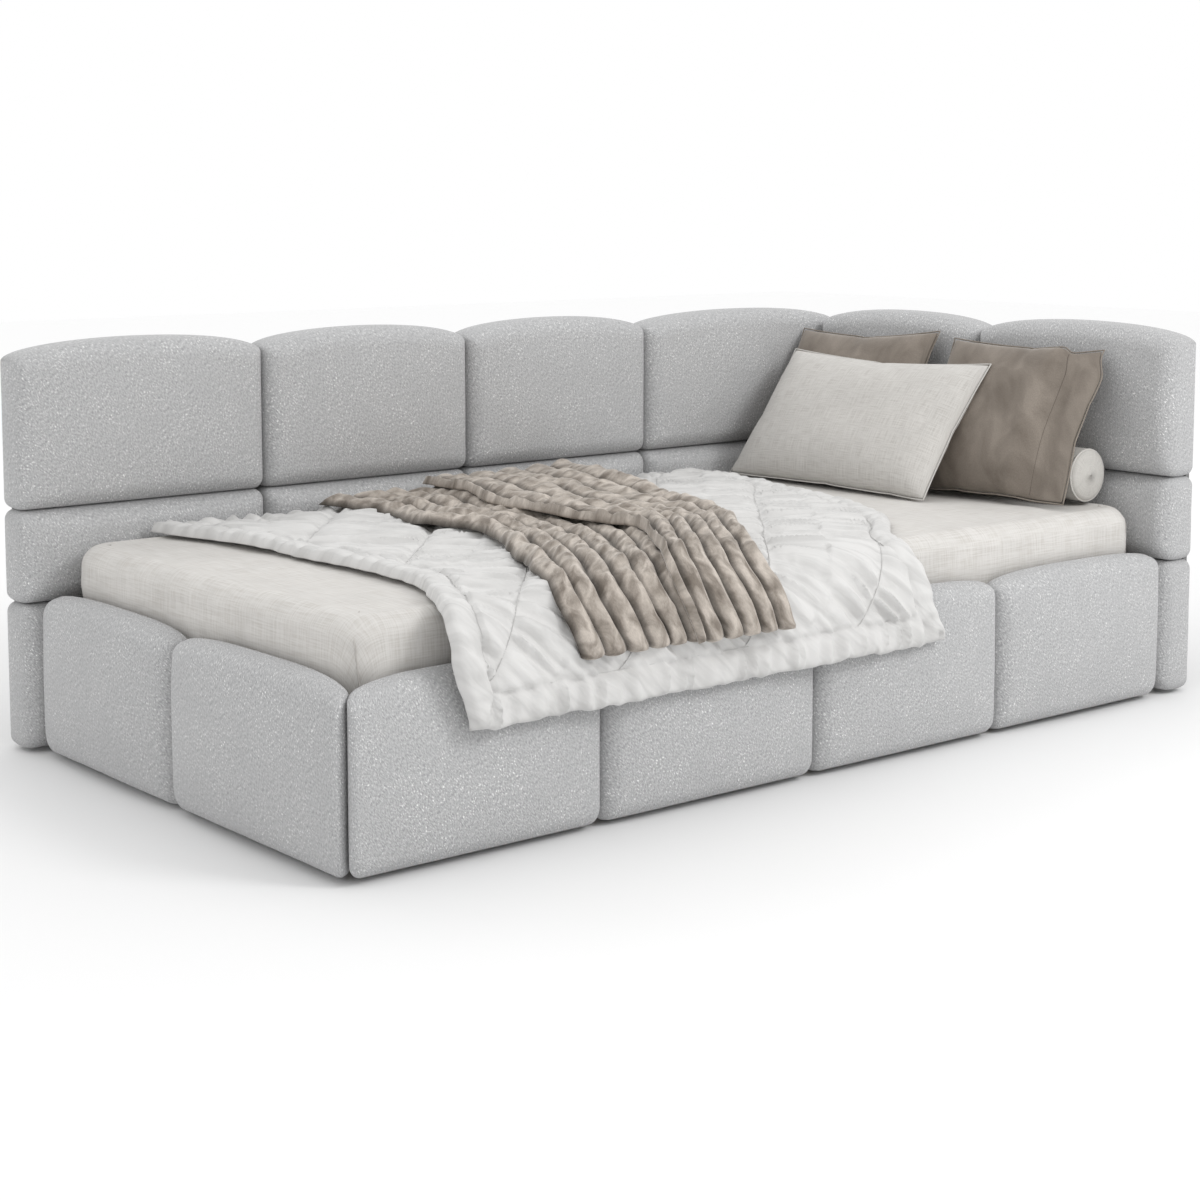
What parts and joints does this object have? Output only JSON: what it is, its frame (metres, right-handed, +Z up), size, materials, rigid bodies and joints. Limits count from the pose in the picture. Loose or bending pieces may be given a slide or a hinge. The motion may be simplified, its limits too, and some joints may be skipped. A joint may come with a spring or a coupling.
{
  "type": "daybed",
  "caption": "Corner daybed with cushioned back panel, headboard, front rail and foot end, slatted base, mattress, quilted duvet, throw and pillows.",
  "frame": {"origin": "middle of the floor footprint of the whole object, bedding included, on the floor", "axes": "+X along the bed towards the headboard, +Y towards the long back panel, +Z up"},
  "size_m": [2.216, 1.257, 0.797],
  "materials": {
    "upholstery": "woven, matt, pale flecks",
    "mattress_ticking": "knitted ticking",
    "sheet_linen": "linen weave",
    "duvet_cotton": "quilted, soft",
    "throw_velvet": "channel quilted velvet",
    "pillow_linen": "linen weave",
    "pillow_velvet": "crushed velvet",
    "bolster_cotton": "cotton",
    "plywood": "plywood",
    "timber": "planed softwood",
    "slat_birch": "bent birch",
    "bracket_steel": "black powder coat",
    "screw_steel": "zinc plated",
    "glide_plastic": "matt"
  },
  "bodies": {
    "frame": {"back_board": "plywood", "back_pad_bottom_1": "upholstery", "back_pad_bottom_2": "upholstery", "back_pad_bottom_3": "upholstery", "back_pad_bottom_4": "upholstery", "back_pad_middle_1": "upholstery", "back_pad_middle_2": "upholstery", "back_pad_middle_3": "upholstery", "back_pad_middle_4": "upholstery", "back_pad_top_1": "upholstery", "back_pad_top_2": "upholstery", "back_pad_top_3": "upholstery", "back_pad_top_4": "upholstery", "back_rail": "timber", "beam_hangers": "bracket_steel", "centre_beam": "timber", "centre_legs": "timber", "corner_brackets": "bracket_steel", "floor_glides": "glide_plastic", "foot_pad_1": "upholstery", "foot_pad_2": "upholstery", "foot_rail": "timber", "front_pad_1": "upholstery", "front_pad_2": "upholstery", "front_pad_3": "upholstery", "front_pad_4": "upholstery", "front_rail": "timber", "head_board": "plywood", "head_pad_bottom_1": "upholstery", "head_pad_bottom_2": "upholstery", "head_pad_middle_1": "upholstery", "head_pad_middle_2": "upholstery", "head_pad_top_1": "upholstery", "head_pad_top_2": "upholstery", "head_rail": "timber", "pad_screws": "screw_steel", "slat_01": "slat_birch", "slat_02": "slat_birch", "slat_03": "slat_birch", "slat_04": "slat_birch", "slat_05": "slat_birch", "slat_06": "slat_birch", "slat_07": "slat_birch", "slat_08": "slat_birch", "slat_09": "slat_birch", "slat_10": "slat_birch", "slat_11": "slat_birch", "slat_12": "slat_birch", "slat_13": "slat_birch", "slat_14": "slat_birch"},
    "mattress": {"mattress": "mattress_ticking", "fitted_sheet": "sheet_linen"},
    "duvet": {"duvet": "duvet_cotton"},
    "throw": {"throw": "throw_velvet"},
    "pillow_white": {"pillow_white": "pillow_linen"},
    "pillow_taupe_left": {"pillow_taupe_left": "pillow_velvet"},
    "pillow_taupe_right": {"pillow_taupe_right": "pillow_velvet"},
    "bolster": {"bolster": "bolster_cotton"}
  },
  "joints": [
    {"name": "mattress_lift", "type": "slide", "parent": "frame", "child": "mattress", "axis": [0, 0, 1], "range_m": [0, 0.6]},
    {"name": "duvet_lift", "type": "slide", "parent": "mattress", "child": "duvet", "axis": [0, 0, 1], "range_m": [0, 0.3]},
    {"name": "throw_lift", "type": "slide", "parent": "duvet", "child": "throw", "axis": [0, 0, 1], "range_m": [0, 0.25]},
    {"name": "taupe_left_lift", "type": "slide", "parent": "mattress", "child": "pillow_taupe_left", "axis": [0, 0, 1], "range_m": [0, 0.4]},
    {"name": "white_lift", "type": "slide", "parent": "pillow_taupe_left", "child": "pillow_white", "axis": [0, 0, 1], "range_m": [0, 0.35]},
    {"name": "taupe_right_slide", "type": "slide", "parent": "mattress", "child": "pillow_taupe_right", "axis": [0, -1, 0], "range_m": [0, 0.65]},
    {"name": "bolster_slide", "type": "slide", "parent": "mattress", "child": "bolster", "axis": [0, -1, 0], "range_m": [0, 0.75]}
  ]
}
